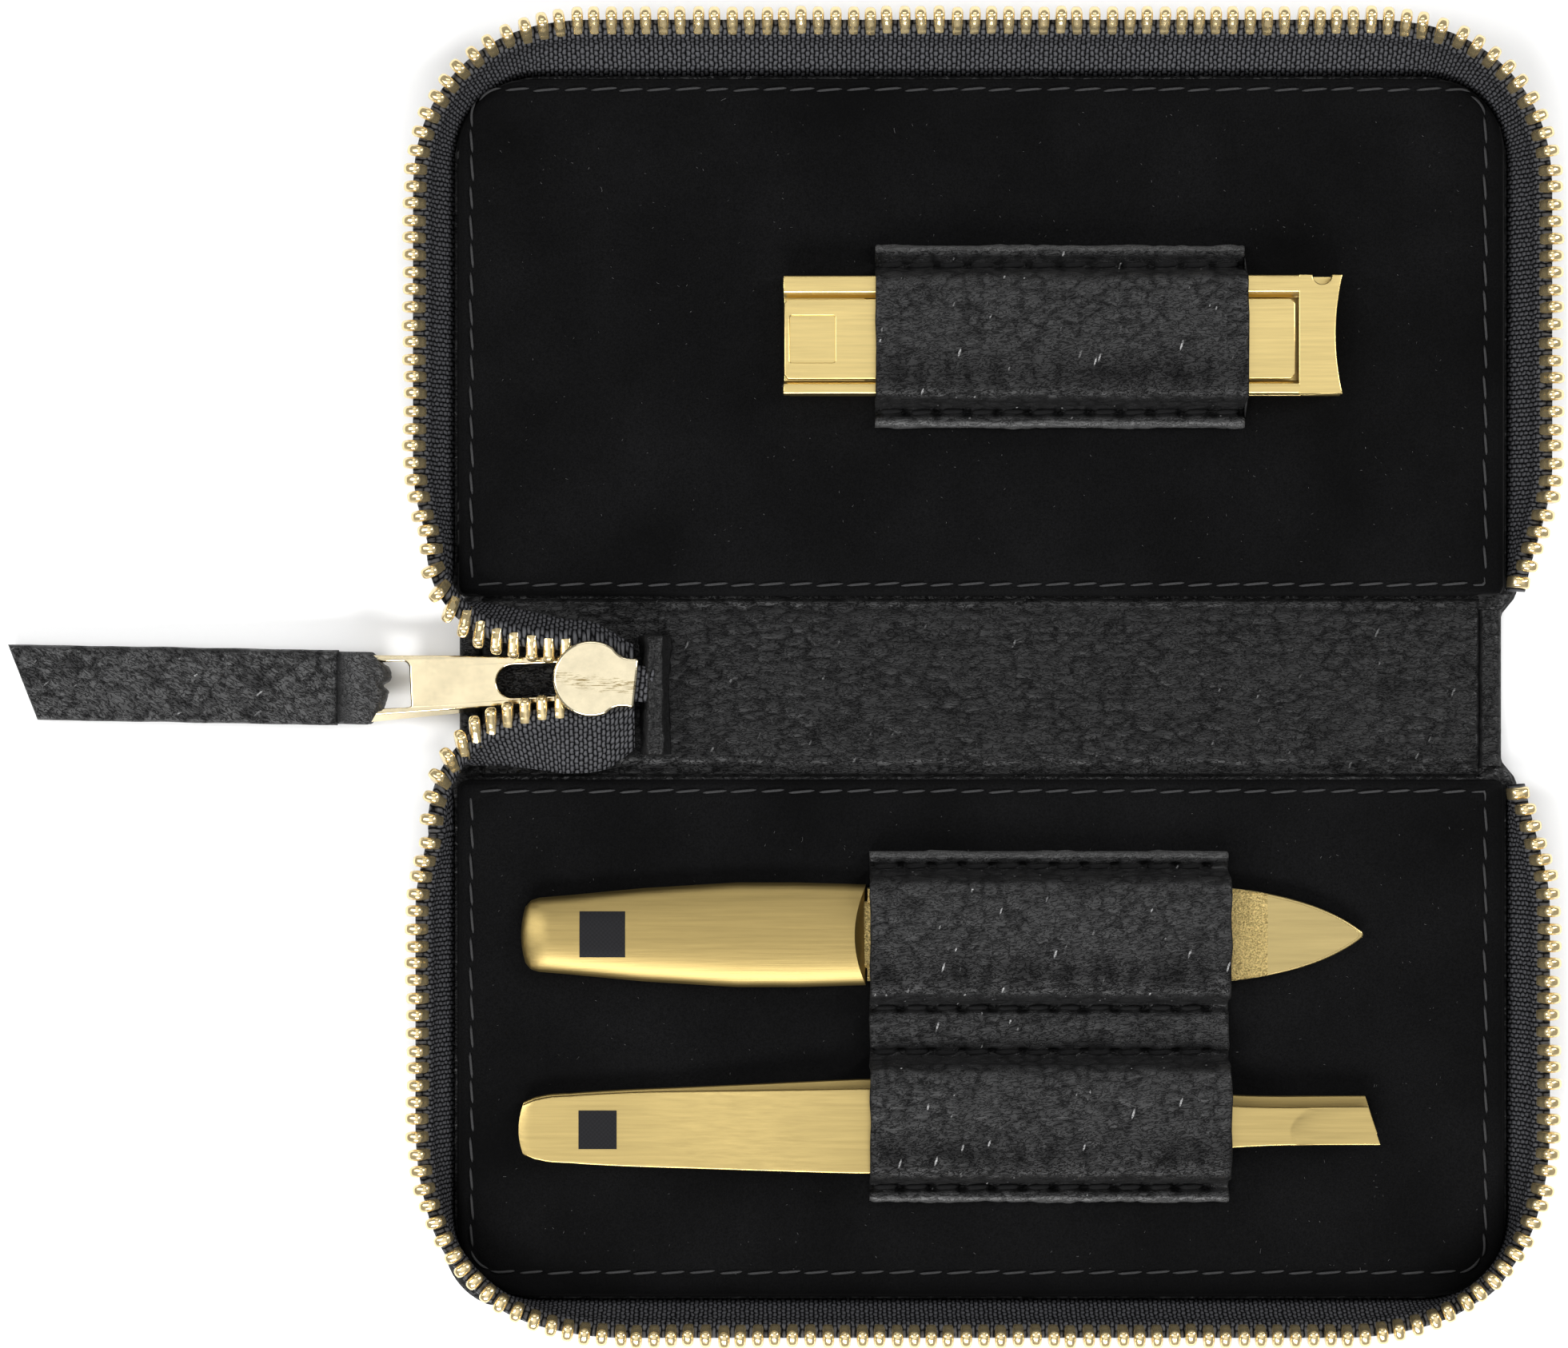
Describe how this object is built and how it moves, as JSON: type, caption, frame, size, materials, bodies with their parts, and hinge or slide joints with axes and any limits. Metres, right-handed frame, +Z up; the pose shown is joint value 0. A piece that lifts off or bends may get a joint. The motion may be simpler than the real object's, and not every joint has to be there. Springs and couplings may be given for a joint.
{
  "type": "manicure set case",
  "caption": "Zip-around leather manicure case laid open flat, its halves joined by a soft spine, with a nail clipper, a file and tweezers under leather loops and a leather zip strap.",
  "frame": {"origin": "middle of the spine's underside, on the table", "axes": "+X along the spine away from the zip's pull, +Y towards the half that holds the clipper, +Z up out of the open case"},
  "size_m": [0.169, 0.1454, 0.0101],
  "materials": {
    "leather": "semi-gloss black, pebbled grain",
    "lining": "matt black velvet",
    "board": "plain grey-brown board, out of sight",
    "zip_tape": "charcoal herringbone weave",
    "polished_brass": "polished pale gold",
    "brushed_gold": "gold-plated steel, brushed along its length",
    "satin_gold": "gold-plated steel, satin"
  },
  "bodies": {
    "lower_half": {"lower_cover": "leather", "lower_board": "board", "lower_lining": "lining", "lower_zip_tape": "zip_tape", "lower_zip_teeth": "polished_brass", "lower_top_stop": "polished_brass", "twin_loop": "leather"},
    "spine": {"spine_cover": "leather", "spine_lining": "leather", "upper_bend_tape": "zip_tape", "upper_bend_teeth": "polished_brass", "lower_bend_tape": "zip_tape", "lower_bend_teeth": "polished_brass", "slider_body": "polished_brass", "zip_tail": "zip_tape", "zip_keeper": "leather"},
    "upper_half": {"upper_cover": "leather", "upper_board": "board", "upper_lining": "lining", "upper_zip_tape": "zip_tape", "upper_zip_teeth": "polished_brass", "upper_top_stop": "polished_brass", "clipper_loop": "leather"},
    "zip_pull": {"pull_tab": "polished_brass"},
    "pull_leather": {"pull_strap": "leather"},
    "nail_file": {"file_handle": "satin_gold", "file_blade": "satin_gold"},
    "tweezers": {"tweezers_lower_arm": "satin_gold"},
    "tweezers_top": {"tweezers_upper_arm": "satin_gold"},
    "clipper": {"clipper_lower_jaw": "brushed_gold", "clipper_rivet": "brushed_gold"},
    "clipper_top": {"clipper_upper_jaw": "brushed_gold", "clipper_lever": "brushed_gold", "clipper_pin": "brushed_gold"}
  },
  "joints": [
    {"name": "lower_fold", "type": "hinge", "parent": "lower_half", "child": "spine", "pos_m": [0, -0.0087, 0.0012], "axis": [1, 0, 0], "range_deg": [0, 90], "deforming": ["lower_bend_tape", "lower_bend_teeth"]},
    {"name": "upper_fold", "type": "hinge", "parent": "spine", "child": "upper_half", "pos_m": [0, 0.0087, 0.0012], "axis": [1, 0, 0], "range_deg": [0, 90], "deforming": ["upper_bend_tape", "upper_bend_teeth"]},
    {"name": "pull_swing", "type": "hinge", "parent": "spine", "child": "zip_pull", "pos_m": [-0.04405, 0.001, 0.0041], "axis": [0.0454, -0.999, 0], "range_deg": [-8, 0]},
    {"name": "strap_swing", "type": "hinge", "parent": "zip_pull", "child": "pull_leather", "pos_m": [-0.06703, -0.00004, 0.00306], "axis": [0.0175, 0.9998, 0], "range_deg": [0, 90]},
    {"name": "file_slide", "type": "slide", "parent": "lower_half", "child": "nail_file", "axis": [1, 0, 0], "range_m": [-0.007, 0.015]},
    {"name": "tweezers_slide", "type": "slide", "parent": "lower_half", "child": "tweezers", "axis": [1, 0, 0], "range_m": [-0.0068, 0.0134]},
    {"name": "tweezers_squeeze", "type": "hinge", "parent": "tweezers", "child": "tweezers_top", "pos_m": [-0.0408, -0.0479, 0.00485], "axis": [0, -1, 0], "range_deg": [-1.1, 0], "stiffness_Nm_per_rad": 1.5},
    {"name": "clipper_slide", "type": "slide", "parent": "upper_half", "child": "clipper", "axis": [1, 0, 0], "range_m": [-0.034, 0.017]},
    {"name": "clipper_press", "type": "hinge", "parent": "clipper", "child": "clipper_top", "pos_m": [-0.0172, 0.0382, 0.005], "axis": [0, -1, 0], "range_deg": [-0.9, 0], "stiffness_Nm_per_rad": 3}
  ]
}
